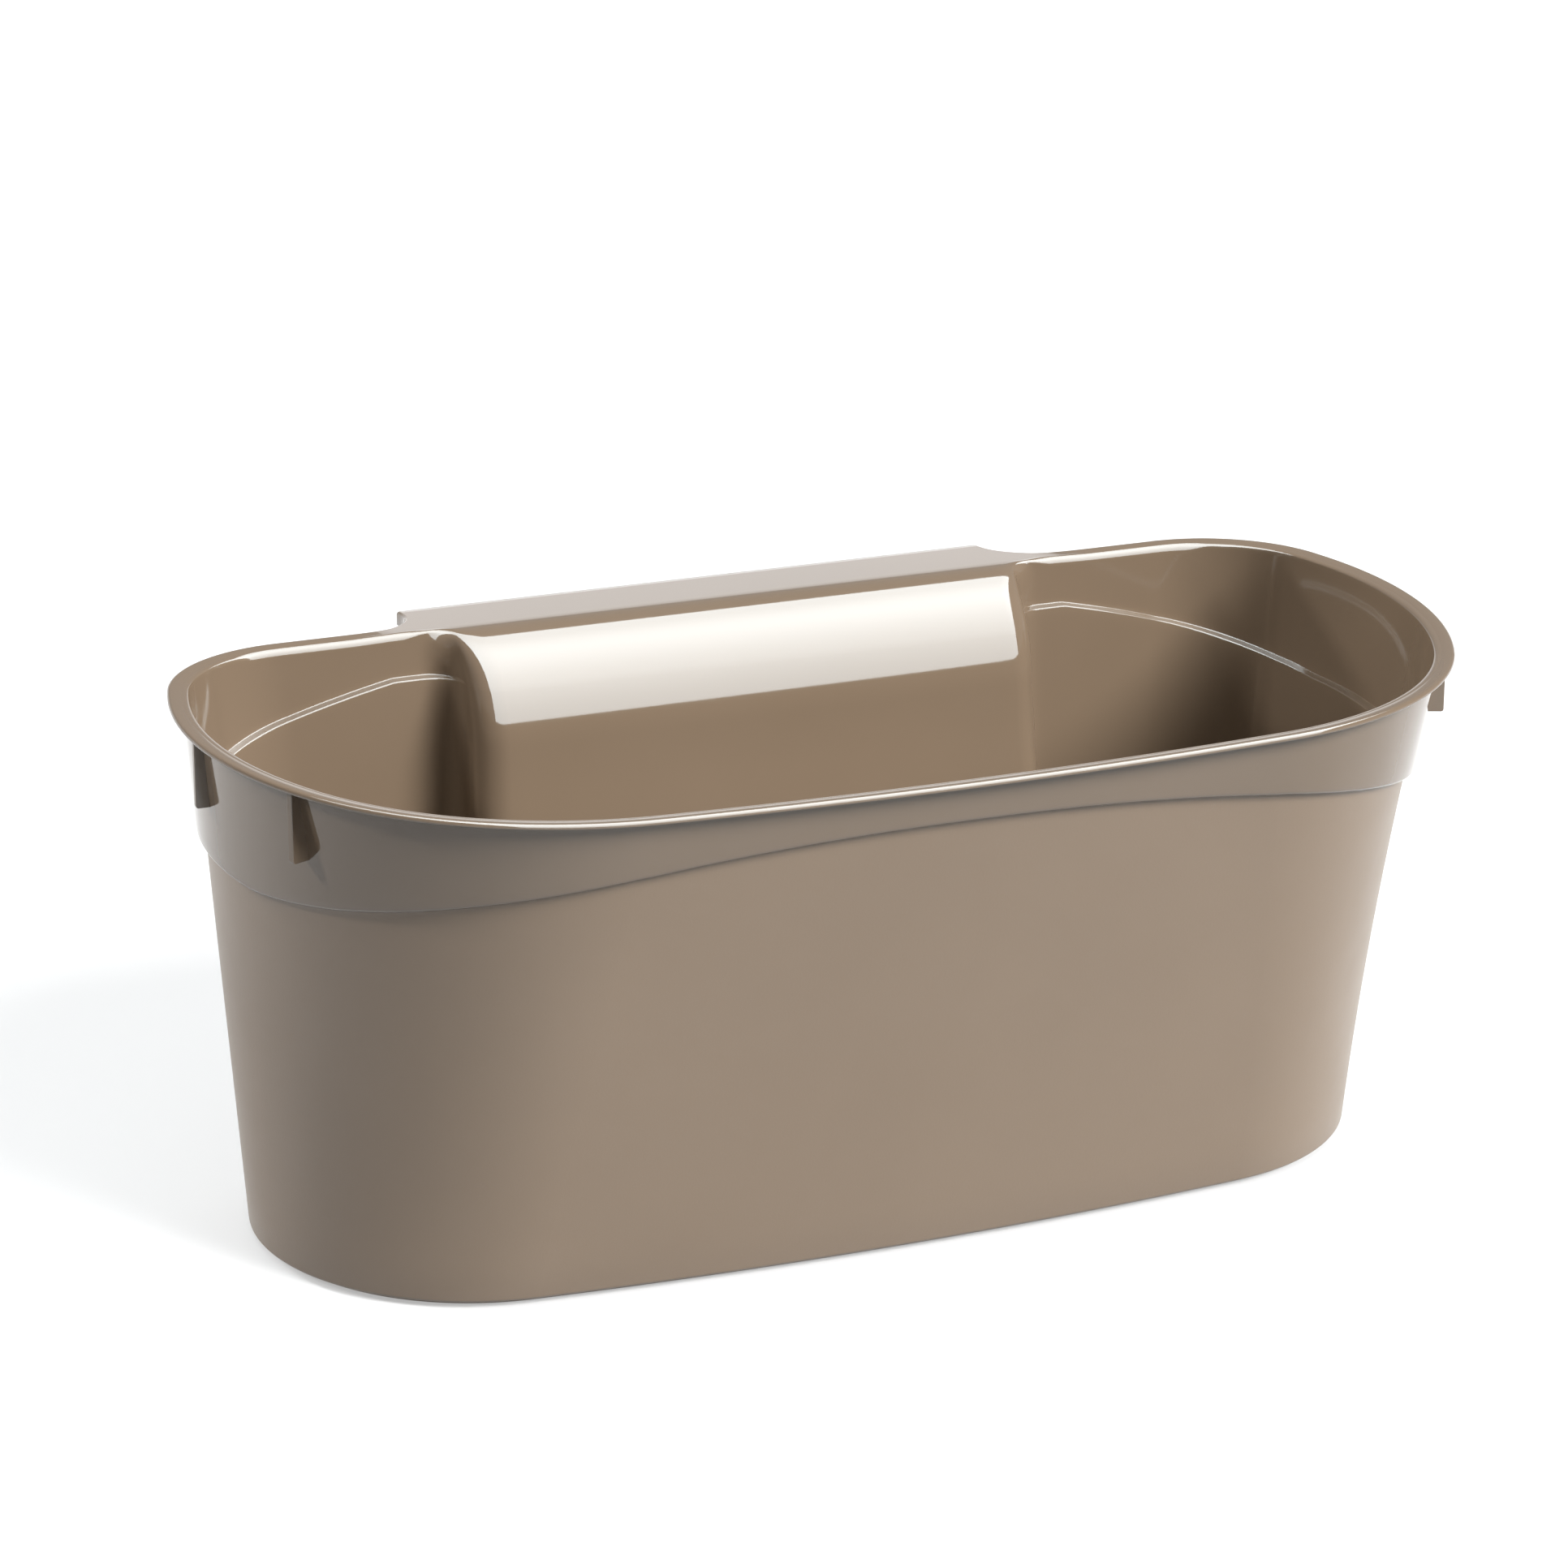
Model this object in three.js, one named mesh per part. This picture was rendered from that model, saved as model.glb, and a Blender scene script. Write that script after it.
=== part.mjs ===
// Carry-by-one-hand tub for cleaning supplies: one thin plastic moulding.
// Every mesh is a named region of that moulding. Millimetres, +Z up.
// Origin: centre of the bounding box, on the table. +X is the long axis, +Y the handle side.
import * as THREE from 'three';

// Overall size
const LENGTH = 400;
const HEIGHT = 170;
const HANDLE_BACK_Y = 118;
const RIM_BACK_Y = 86.3;
const BASE_BACK_Y = 77.8;
const BASE_LENGTH = 362.8;

// Plan outlines: straight back, then arcs of [radius, turn in degrees], then a shallow front bow
const RIM_ARCS = [[45, 73], [149, 43], [107, 59]];
const BASE_ARCS = [[45, 66], [122, 5], [71, 103.5]];

// Walls
const WALL = 2.2;
const SEAM = 0.3;
const HALF_SEAM = SEAM / 2;
const RIM_OVERHANG = 6.8;
const BAND_PROUD = 2.6;
const BAND_EDGE_RADIUS = 1.8;
const RIM_DEPTH = 1.6;
const CORNER_WAIST = 2.2;
const WAIST_HEADING = 123;
const WAIST_SPREAD = 45;
const PAN_HEIGHT = 7;

// Ring the tub stands on, as insets from the outer wall, and the rounding of the base edge
const FOOT_HEIGHT = 2;
const FOOT_OUTER_INSET = 4;
const FOOT_INNER_INSET = 8.4;
const FOOT_DRAFT = 0.7;
const BASE_EDGE = 1.3;

// Lower edge of the glossy band: shallow in the middle, deep at both ends
const STEP_MIDDLE_DROP = 12.5;
const STEP_END_DROP = 30.7;
const STEP_POWER = 2.18;
const STEP_HALF_SPAN = 190;
const STEP_LEAN_X = -0.0063;
const STEP_LEAN_Y = 0.019;
const LEDGE_RISE = 6;

// Hand-grip recess in the back wall, measured on the tub side
const RECESS_HALF_WIDTH = 95;
const CHEEK_DRAFT = 0.03;
const PANEL_Y = 51.8;
const PANEL_DRAFT = 0.11;
const ROUND_START_Z = 135;
const CREST_Y = 78;
const PANEL_CORNER = 9.3;
const CHEEK_CORNER = 11;
const RECESS_TOP_Z = 160;
const RECESS_JOIN_X = 114;
const ROUND_STEPS = 4;
const CORNER_STEPS = 4;
const ROUND_END_ANGLE = 82;

// Handle flange
const HANDLE_HALF_LENGTH = 101;
const HANDLE_SLOPE = 0.115;
const SLOPE_START_Y = 80;
const HANDLE_FILLET = 26;
const HANDLE_LIP = 4.6;
const HANDLE_CORNER = 1.6;
const FLANGE_COLUMNS = 13;

// Stacking ribs under the rim: outline normal direction in degrees (0 is the back, 90 the end)
const RIB_DIRECTIONS = { rear: 90, front: 113 };
const RIB_THICKNESS = 2.1;
const RIB_BOTTOM_Z = 146.5;
const RIB_SETBACK = 2;
const RIB_CORNER = 1;

const rad = THREE.MathUtils.degToRad;
const lerp = THREE.MathUtils.lerp;

// Walks the arcs from heading 0 (back) to the asked heading; returns the point relative to the straight's end
function arcWalk(arcs, heading) {
  let x = 0;
  let y = 0;
  let from = 0;
  for (const [radius, turn] of arcs) {
    const to = Math.min(from + turn, heading);
    if (to <= from) break;
    x += radius * (Math.sin(rad(to)) - Math.sin(rad(from)));
    y += radius * (Math.cos(rad(to)) - Math.cos(rad(from)));
    from += turn;
  }
  return { x, y };
}

function makeOutline(arcs, length, backY) {
  let reach = 0;
  for (let h = 60; h <= 120; h += 0.5) reach = Math.max(reach, arcWalk(arcs, h).x);
  const straight = length / 2 - reach;
  const turned = arcs.reduce((sum, arc) => sum + arc[1], 0);
  const end = arcWalk(arcs, turned);
  const frontRadius = (straight + end.x) / Math.sin(rad(turned));
  const full = [...arcs, [frontRadius, 180 - turned]];
  return {
    straight,
    at: (heading) => {
      const p = arcWalk(full, heading);
      return { x: straight + p.x, y: backY + p.y };
    },
  };
}

const rimOutline = makeOutline(RIM_ARCS, LENGTH, RIM_BACK_Y);
const baseOutline = makeOutline(BASE_ARCS, BASE_LENGTH, BASE_BACK_Y);

// How far the wall draws in between base and rim, deepest at the front corners
function waist(heading, k) {
  const off = Math.min(Math.abs(heading - WAIST_HEADING) / WAIST_SPREAD, 1);
  return CORNER_WAIST * 4 * k * (1 - k) * Math.cos(rad(90 * off)) ** 2;
}

// A station is a place on the outline: side -1 or +1, its heading, and how far along the back straight it is
function wallPoint(station, z, inset) {
  const k = z / HEIGHT;
  const nx = Math.sin(rad(station.heading));
  const ny = Math.cos(rad(station.heading));
  const rim = rimOutline.at(station.heading);
  const base = baseOutline.at(station.heading);
  const drawn = inset + waist(station.heading, k);
  let x = lerp(base.x, rim.x - RIM_OVERHANG * nx, k) - drawn * nx;
  const y = lerp(base.y, rim.y - RIM_OVERHANG * ny, k) - drawn * ny;
  if (station.backX !== undefined) x = station.backX;
  return new THREE.Vector3(station.side * x, y, z);
}

// Height of the band's lower edge; it leans slightly to the front and to one side
function stepZ(x, y) {
  const reach = Math.min(Math.abs(x) / STEP_HALF_SPAN, 1);
  const lean = STEP_LEAN_X * x + STEP_LEAN_Y * y;
  return HEIGHT - STEP_MIDDLE_DROP - STEP_END_DROP * reach ** STEP_POWER + lean;
}

// Stations from the recess on the right, around the front, to the recess on the left
function wallStations(startX) {
  const headings = [0, 10, 20, 30, 40, 50, 60, 68, 75, 82.5, 90, 97.5, 105, 112];
  for (let h = 119; h <= 168; h += 7) headings.push(h);
  headings.push(175, 176.7, 178.3);
  const half = [{ heading: 0, backX: startX }, { heading: 0, backX: (startX + rimOutline.straight) / 2 }];
  for (const heading of headings) half.push({ heading });
  const right = half.map((s) => ({ ...s, side: 1 }));
  const left = half.map((s) => ({ ...s, side: -1 })).reverse();
  return [...right, { heading: 180, side: 1 }, ...left];
}

// Closed body between two sheets of points with the same rows and columns
function shell(outer, inner) {
  const rows = outer.length;
  const cols = outer[0].length;
  const points = [...outer.flat(), ...inner.flat()];
  const at = (sheet, r, c) => sheet * rows * cols + r * cols + c;
  const index = [];
  const quad = (a, b, c, d) => index.push(a, b, c, a, c, d);
  for (let r = 0; r < rows - 1; r++) {
    for (let c = 0; c < cols - 1; c++) {
      quad(at(0, r, c), at(0, r, c + 1), at(0, r + 1, c + 1), at(0, r + 1, c));
      quad(at(1, r, c), at(1, r + 1, c), at(1, r + 1, c + 1), at(1, r, c + 1));
    }
    quad(at(0, r, 0), at(0, r + 1, 0), at(1, r + 1, 0), at(1, r, 0));
    quad(at(0, r, cols - 1), at(1, r, cols - 1), at(1, r + 1, cols - 1), at(0, r + 1, cols - 1));
  }
  for (let c = 0; c < cols - 1; c++) {
    quad(at(0, 0, c), at(1, 0, c), at(1, 0, c + 1), at(0, 0, c + 1));
    const top = rows - 1;
    quad(at(0, top, c), at(0, top, c + 1), at(1, top, c + 1), at(1, top, c));
  }
  return fromTriangles(points, index);
}

function fromTriangles(points, index) {
  let volume = 0;
  for (let i = 0; i < index.length; i += 3) {
    const [a, b, c] = [points[index[i]], points[index[i + 1]], points[index[i + 2]]];
    volume += a.dot(b.clone().cross(c));
  }
  const faces = volume > 0 ? index : index.slice().reverse();
  const geometry = new THREE.BufferGeometry();
  geometry.setFromPoints(points);
  geometry.setIndex(faces);
  geometry.computeVertexNormals();
  return geometry;
}

// One wall region: each row gives the outer and inner inset and its height at a station
function wallRegion(stations, rows) {
  const outer = rows.map((row) => stations.map((s) => wallPoint(s, row.z(s), row.out)));
  const inner = rows.map((row) => stations.map((s) => wallPoint(s, row.z(s), row.in)));
  return shell(outer, inner);
}

function stationStep(station) {
  const top = wallPoint(station, HEIGHT, 0);
  return stepZ(top.x, top.y);
}

function bodyWall() {
  return wallRegion(wallStations(RECESS_JOIN_X + HALF_SEAM), [
    { z: () => PAN_HEIGHT + SEAM, out: 0, in: WALL },
    { z: (s) => stationStep(s) / 3, out: 0, in: WALL },
    { z: (s) => (stationStep(s) * 2) / 3, out: 0, in: WALL },
    { z: (s) => stationStep(s) - SEAM, out: 0, in: WALL },
  ]);
}

function upperBand() {
  const above = (rise) => (s) => stationStep(s) + rise;
  const inset = WALL - BAND_PROUD;
  const edge = BAND_EDGE_RADIUS;
  return wallRegion(wallStations(RECESS_JOIN_X + HALF_SEAM), [
    { z: above(0), out: edge - BAND_PROUD, in: WALL },
    { z: above(edge * 0.3), out: edge * 0.3 - BAND_PROUD, in: WALL },
    { z: above(edge), out: -BAND_PROUD, in: WALL },
    { z: above(LEDGE_RISE - 2), out: -BAND_PROUD, in: WALL },
    { z: above(LEDGE_RISE), out: -BAND_PROUD, in: inset },
    { z: () => HEIGHT - RIM_DEPTH - SEAM, out: -BAND_PROUD, in: inset },
  ]);
}

function rimLip() {
  const below = (drop) => () => HEIGHT - drop;
  const inEdge = WALL - BAND_PROUD;
  return wallRegion(wallStations(RECESS_JOIN_X + HALF_SEAM), [
    { z: below(RIM_DEPTH), out: -RIM_OVERHANG + 0.5, in: inEdge },
    { z: below(RIM_DEPTH - 0.5), out: -RIM_OVERHANG, in: inEdge },
    { z: below(0.8), out: -RIM_OVERHANG, in: inEdge - 0.5 },
    { z: below(0.25), out: -RIM_OVERHANG + 0.4, in: inEdge - 1.2 },
    { z: below(0), out: -RIM_OVERHANG + 1, in: inEdge - 2 },
  ]);
}

// Tub-side profile of the recess: drafted panel, then a quarter-round up to the crest
function panelY(z) {
  if (z <= ROUND_START_Z) return PANEL_Y - PANEL_DRAFT * (ROUND_START_Z - z);
  const rise = (z - ROUND_START_Z) / (HEIGHT - ROUND_START_Z);
  return CREST_Y - (CREST_Y - PANEL_Y) * Math.sqrt(Math.max(1 - rise * rise, 0));
}

function cheekX(z) {
  return RECESS_HALF_WIDTH + CHEEK_DRAFT * Math.max(ROUND_START_Z - z, 0);
}

// Half of the recess plan curve: panel, rounded corner, cheek, rounded corner, back wall.
// thick is 0 on the tub side and WALL on the open side.
function recessHalf(z, frontY, backY, thick, joinX) {
  const r1 = PANEL_CORNER - thick;
  const r2 = CHEEK_CORNER + thick;
  const depth = Math.max(backY - frontY, 0.02);
  const turn = Math.acos(Math.max(1 - depth / (r1 + r2), 0));
  const cheek = Math.max(depth - r1 - r2, 0);
  const x = cheekX(z) - thick;
  const points = [0, 0.5].map((f) => new THREE.Vector3(f * (x - r1 * Math.sin(turn)), frontY, z));
  for (let i = 0; i <= CORNER_STEPS; i++) {
    const a = (turn * i) / CORNER_STEPS;
    const back = r1 * (Math.sin(turn) - Math.sin(a));
    points.push(new THREE.Vector3(x - back, frontY + r1 * (1 - Math.cos(a)), z));
  }
  for (let i = 0; i <= CORNER_STEPS; i++) {
    const a = turn * (1 - i / CORNER_STEPS);
    const lift = r1 * (1 - Math.cos(turn)) + cheek + r2 * (Math.cos(a) - Math.cos(turn));
    points.push(new THREE.Vector3(x + r2 * (Math.sin(turn) - Math.sin(a)), frontY + lift, z));
  }
  points.push(new THREE.Vector3(joinX, backY, z));
  return points;
}

function mirrorJoin(half) {
  const left = half.slice(1).map((p) => new THREE.Vector3(-p.x, p.y, p.z)).reverse();
  return [...left, ...half];
}

const backWallY = (z, inset) => wallPoint({ heading: 0, side: 1 }, z, inset).y;

function gripRecess() {
  const join = RECESS_JOIN_X - HALF_SEAM;
  const step = stepZ(join, RIM_BACK_Y - RIM_OVERHANG) - STEP_LEAN_X * join;
  const row = (z, backInset, thick) => {
    const slope = z > ROUND_START_Z ? quarterNormal(z) : { y: 1, z: 0 };
    const frontY = panelY(z) + thick * slope.y;
    return mirrorJoin(recessHalf(z - thick * slope.z, frontY, backWallY(z, backInset), thick, join));
  };
  const ledge = step + LEDGE_RISE;
  const heights = [PAN_HEIGHT + SEAM, ROUND_START_Z / 2, ROUND_START_Z, (ROUND_START_Z + step) / 2];
  heights.push(step, step + 0.6, ledge - 2, ledge, (ledge + RECESS_TOP_Z) / 2, RECESS_TOP_Z);
  const outer = heights.map((z) => row(z, z <= step ? 0 : -BAND_PROUD, WALL));
  const inner = heights.map((z) => row(z, z < ledge ? WALL : WALL - BAND_PROUD, 0));
  return shell(outer, inner);
}

// Unit vector from the tub side of the quarter-round into its wall
function quarterNormal(z) {
  const a = CREST_Y - PANEL_Y;
  const b = HEIGHT - ROUND_START_Z;
  const v = new THREE.Vector2((CREST_Y - panelY(z)) / (a * a), -(z - ROUND_START_Z) / (b * b)).normalize();
  return { y: v.x, z: -v.y };
}

function handleEndX(y) {
  const centreY = RIM_BACK_Y + HANDLE_FILLET;
  const dy = Math.max(centreY - y, 0);
  return HANDLE_HALF_LENGTH + HANDLE_FILLET - Math.sqrt(Math.max(HANDLE_FILLET ** 2 - dy * dy, 0));
}

// Straight row of the handle top, with the same number of points as a recess row
function flangeRow(y, z, endX) {
  const half = [];
  for (let i = 0; i < FLANGE_COLUMNS; i++) {
    half.push(new THREE.Vector3((endX * i) / (FLANGE_COLUMNS - 1), y, z));
  }
  return mirrorJoin(half);
}

function gripHandle() {
  const join = RECESS_JOIN_X - HALF_SEAM;
  const top = [];
  const under = [];
  const rise = HEIGHT - ROUND_START_Z;
  const startAngle = Math.asin((RECESS_TOP_Z + SEAM - ROUND_START_Z) / rise);
  for (let i = 0; i <= ROUND_STEPS; i++) {
    const z = ROUND_START_Z + rise * Math.sin(lerp(startAngle, rad(ROUND_END_ANGLE), i / ROUND_STEPS));
    const n = quarterNormal(z);
    const backY = backWallY(z, WALL - BAND_PROUD);
    top.push(mirrorJoin(recessHalf(z, panelY(z), backY, 0, join)));
    const low = Math.max(z - WALL * n.z, RECESS_TOP_Z + SEAM);
    const deepBack = Math.max(backWallY(z, -BAND_PROUD), panelY(z) + WALL * n.y + 0.1);
    under.push(mirrorJoin(recessHalf(low, panelY(z) + WALL * n.y, deepBack, WALL, join)));
  }
  const topZ = (y) => HEIGHT - HANDLE_SLOPE * Math.max(y - SLOPE_START_Y, 0);
  const rows = [[RIM_BACK_Y + SEAM, join]];
  const filletEnd = RIM_BACK_Y + HANDLE_FILLET;
  for (let y = RIM_BACK_Y + SEAM + 0.2; y < filletEnd - 2; y += 5) {
    rows.push([y, handleEndX(y)]);
  }
  rows.push([filletEnd, HANDLE_HALF_LENGTH], [HANDLE_BACK_Y - WALL - 0.2, HANDLE_HALF_LENGTH]);
  for (const [y, endX] of rows) {
    top.push(flangeRow(y, topZ(y), endX));
    under.push(flangeRow(y, topZ(y) - WALL, endX));
  }
  const edgeZ = topZ(HANDLE_BACK_Y);
  const lip = [
    { back: 0.6, drop: 0.4, underDrop: 0.1, corner: 0.6 },
    { back: 0, drop: HANDLE_CORNER, underDrop: 1, corner: HANDLE_CORNER },
    { back: 0, drop: HANDLE_LIP, underDrop: HANDLE_LIP - WALL, corner: HANDLE_CORNER },
  ];
  for (const row of lip) {
    const endX = HANDLE_HALF_LENGTH - row.corner;
    top.push(flangeRow(HANDLE_BACK_Y - row.back, edgeZ - row.drop, endX));
    under.push(flangeRow(HANDLE_BACK_Y - WALL, edgeZ - WALL - row.underDrop, endX));
  }
  return shell(top, under);
}

// Closed plan loop at one height, notch included, moved towards the inside of the material by inset
function panLoop(z, inset) {
  const stations = wallStations(RECESS_JOIN_X);
  const wall = stations.map((s) => wallPoint(s, z, inset));
  const frontY = panelY(z) + WALL - inset;
  const recess = mirrorJoin(recessHalf(z, frontY, backWallY(z, inset), WALL - inset, RECESS_JOIN_X));
  return [...wall, ...recess.slice(1, -1)];
}

function floorPan() {
  const floorTop = FOOT_HEIGHT + WALL;
  const loops = [
    panLoop(FOOT_HEIGHT, FOOT_INNER_INSET + FOOT_DRAFT),
    panLoop(0, FOOT_INNER_INSET),
    panLoop(0, FOOT_OUTER_INSET),
    panLoop(FOOT_HEIGHT, FOOT_OUTER_INSET - FOOT_DRAFT),
    panLoop(FOOT_HEIGHT, BASE_EDGE),
    panLoop(FOOT_HEIGHT + BASE_EDGE * 0.3, BASE_EDGE * 0.3),
    panLoop(FOOT_HEIGHT + BASE_EDGE, 0),
    panLoop(PAN_HEIGHT, 0),
    panLoop(PAN_HEIGHT, WALL),
    panLoop(floorTop + 1.6, WALL),
    panLoop(floorTop + 0.5, WALL + 0.6),
    panLoop(floorTop, WALL + 2),
  ];
  const count = loops[0].length;
  const points = loops.flat();
  const index = [];
  for (let r = 0; r < loops.length - 1; r++) {
    for (let c = 0; c < count; c++) {
      const a = r * count + c;
      const b = r * count + ((c + 1) % count);
      index.push(a, b, b + count, a, b + count, a + count);
    }
  }
  const cap = (row, flip) => {
    const contour = loops[row].map((p) => new THREE.Vector2(p.x, p.y));
    for (const [a, b, c] of THREE.ShapeUtils.triangulateShape(contour, [])) {
      const t = [a, b, c].map((i) => row * count + i);
      index.push(...(flip ? t.reverse() : t));
    }
  };
  const clockwise = THREE.ShapeUtils.isClockWise(loops[0].map((p) => new THREE.Vector2(p.x, p.y)));
  cap(0, !clockwise);
  cap(loops.length - 1, clockwise);
  return fromTriangles(points, index);
}

function stackingRib(side, heading) {
  const station = { heading, side };
  const nx = side * Math.sin(rad(heading));
  const ny = Math.cos(rad(heading));
  const top = HEIGHT - RIM_DEPTH - SEAM;
  const rim = rimOutline.at(heading);
  const edge = new THREE.Vector2(side * rim.x - RIB_SETBACK * nx, rim.y - RIB_SETBACK * ny);
  const reach = (z) => {
    const wall = wallPoint(station, z, -BAND_PROUD - SEAM);
    return (wall.x - edge.x) * nx + (wall.y - edge.y) * ny;
  };
  const shape = new THREE.Shape();
  shape.moveTo(reach(top), top);
  shape.lineTo(0, top);
  shape.lineTo(0, RIB_BOTTOM_Z + RIB_CORNER);
  shape.quadraticCurveTo(0, RIB_BOTTOM_Z, -RIB_CORNER, RIB_BOTTOM_Z);
  shape.lineTo(reach(RIB_BOTTOM_Z), RIB_BOTTOM_Z);
  const extrusion = { depth: RIB_THICKNESS, bevelEnabled: false, curveSegments: CORNER_STEPS };
  const rib = new THREE.ExtrudeGeometry(shape, extrusion);
  rib.translate(0, 0, -RIB_THICKNESS / 2);
  const outward = new THREE.Vector3(nx, ny, 0);
  const up = new THREE.Vector3(0, 0, 1);
  const frame = new THREE.Matrix4().makeBasis(outward, up, outward.clone().cross(up));
  rib.applyMatrix4(frame.setPosition(edge.x, edge.y, 0));
  return rib;
}

const satin = new THREE.MeshStandardMaterial({ color: 0x8d8171, roughness: 0.5, metalness: 0 });
const gloss = new THREE.MeshStandardMaterial({ color: 0x7d7060, roughness: 0.16, metalness: 0 });

const group = new THREE.Group();
group.name = 'cleaning_caddy';

function add(name, geometry, material) {
  const mesh = new THREE.Mesh(geometry, material.clone());
  mesh.name = name;
  group.add(mesh);
}

add('floor_pan', floorPan(), satin);
add('body_wall', bodyWall(), satin);
add('upper_band', upperBand(), gloss);
add('rim_lip', rimLip(), gloss);
add('grip_recess', gripRecess(), gloss);
add('grip_handle', gripHandle(), gloss);
for (const [place, heading] of Object.entries(RIB_DIRECTIONS)) {
  add(`stacking_rib_right_${place}`, stackingRib(1, heading), gloss);
  add(`stacking_rib_left_${place}`, stackingRib(-1, heading), gloss);
}

export default group;
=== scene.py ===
"""Cleaning caddy: one taupe plastic moulding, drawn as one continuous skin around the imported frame.

The skin is a grid. A column is one place on the way round the tub, and a row is one step of the
section: from the floor up the tub side, over the rim or handle, and down the outside to the foot.
Lengths are millimetres until the mesh is made. Stage lengths are metres.
"""

import math

import bmesh
import bpy
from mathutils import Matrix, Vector


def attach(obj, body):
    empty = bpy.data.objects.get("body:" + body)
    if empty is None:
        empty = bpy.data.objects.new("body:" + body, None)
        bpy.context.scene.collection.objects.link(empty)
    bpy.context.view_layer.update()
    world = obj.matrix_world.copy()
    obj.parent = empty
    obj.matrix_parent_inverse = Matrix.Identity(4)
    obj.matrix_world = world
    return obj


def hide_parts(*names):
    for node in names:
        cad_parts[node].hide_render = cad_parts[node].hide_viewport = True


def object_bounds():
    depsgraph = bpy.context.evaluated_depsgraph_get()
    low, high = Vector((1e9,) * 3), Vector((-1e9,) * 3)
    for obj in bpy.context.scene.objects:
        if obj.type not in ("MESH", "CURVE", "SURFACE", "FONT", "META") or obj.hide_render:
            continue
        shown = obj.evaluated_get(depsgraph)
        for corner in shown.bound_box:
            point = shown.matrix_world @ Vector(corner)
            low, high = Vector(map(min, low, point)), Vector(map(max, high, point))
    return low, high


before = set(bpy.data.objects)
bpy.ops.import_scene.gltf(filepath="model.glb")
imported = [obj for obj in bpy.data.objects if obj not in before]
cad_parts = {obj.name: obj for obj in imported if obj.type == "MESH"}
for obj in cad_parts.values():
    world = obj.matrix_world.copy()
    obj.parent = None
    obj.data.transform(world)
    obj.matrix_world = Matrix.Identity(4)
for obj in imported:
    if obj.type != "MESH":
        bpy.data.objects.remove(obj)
cad_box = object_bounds()

MM = 0.001
HIGH = cad_box[1] / MM

# Overall size, from the frame
LENGTH = 2 * HIGH.x
HEIGHT = HIGH.z
HANDLE_BACK_Y = HIGH.y

# Plan outlines: straight back, arcs of (radius, turn in degrees), then a shallow front bow
RIM_BACK_Y = 86.3
BASE_BACK_Y = 77.8
BASE_LENGTH = 362.8
RIM_ARCS = [(45, 73), (149, 43), (107, 59)]
BASE_ARCS = [(45, 66), (122, 5), (71, 103.5)]
BOW_START = 174

# Walls
WALL = 2.2
RIM_OVERHANG = 6.8
BAND_PROUD = 2.6
RIM_DEPTH = 1.6
CORNER_WAIST = 2.2
WAIST_HEADING = 123
WAIST_SPREAD = 45
FOOT_HEIGHT = 2
FOOT_OUTER_INSETS = (3.2, 3.5, 3.7, 3.9, 4.3)
FOOT_INNER_INSETS = (8.1, 8.5, 8.7, 8.9, 9.3)
FOOT_SHARES = (1, 0.9, 0.25, 0.06, 0)
FLOOR_TOP = FOOT_HEIGHT + WALL
FLOOR_FILLET = 5

# Lower edge of the glossy band and the ledge inside it
STEP_MIDDLE_DROP = 12.5
STEP_END_DROP = 30.7
STEP_POWER = 2.18
STEP_HALF_SPAN = 190
STEP_LEAN_X = -0.0063
STEP_LEAN_Y = 0.019
LEDGE_RISE = 6
RECESS_STEP_X = 114
RECESS_STEP_SHARE = 0.2
BAND_NOTCH = 0.4

# Hand-grip recess
RECESS_HALF_WIDTH = 95
CHEEK_DRAFT = 0.03
PANEL_Y = 51.8
PANEL_DRAFT = 0.11
ROUND_START_Z = 135
CREST_Y = 78
PANEL_CORNER = 9.3
CHEEK_CORNER = 11

# Handle flange
HANDLE_HALF_LENGTH = 101
HANDLE_SLOPE = 0.115
SLOPE_START_Y = 80
SLOPE_BLEND = 2
HANDLE_FILLET = 26
HANDLE_CORNER = 1.6
HANDLE_LIP = 4.6
BACK_EDGE_SHARE = 0.93
FLANGE_BLEND = 0.7

# Edge rounding
RIM_INNER_REACH = 2.2
RIM_INNER_DROP = 2.4
RIM_TIGHT_EDGE = 0.8
RIM_CROWN = 0.34
RIM_EDGE = 0.9
LIP_EDGE = 0.5
LIP_LAND = 0.5
LIP_INNER_EDGE = 0.3
LIP_INNER_RISE = (0.1, 0.9)
LIP_ROOT = 0.2
BAND_EDGE = 1.3
LEDGE_CONVEX = 0.5
LEDGE_CONCAVE = 0.35
LEDGE_TILT = 14
LEDGE_SLOPE = 0.4
BASE_EDGE = 1.3
UNDER_FILLET = 0.8

# Where the rounding inside the rim is generous: full from this share of the back, up to this
# heading on the wall, and then fading over so many degrees
GENEROUS_FROM = 0.15
GENEROUS_TO = 12
GENEROUS_FADE = 14

# Grid rows down the band and round its lower edge, and how the rows on top crowd to the inner edge
BAND_ROWS = 14
BAND_EDGE_ROWS = 6
TOP_CROWDING = 1.3

# Stacking ribs: outline normal direction in degrees (0 is the back, 90 the end)
RIB_DIRECTIONS = {"rear": 90, "front": 113}
RIB_THICKNESS = 2.1
RIB_BOTTOM_Z = 146.5
RIB_SETBACK = 2
RIB_ROOT = 0.4
RIB_CORNER = 0.8
RIB_EDGE = 0.35


def lerp(a, b, k):
    return a + (b - a) * k


def smooth(k):
    k = min(max(k, 0), 1)
    return k * k * (3 - 2 * k)


def sin_deg(angle):
    return math.sin(math.radians(angle))


def cos_deg(angle):
    return math.cos(math.radians(angle))


def steps(count, first=0):
    """Fractions from 0 to 1 in count equal steps, leaving out the ones before first."""
    return [i / count for i in range(first, count + 1)]


# ---------------------------------------------------------------- plan outlines

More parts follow.
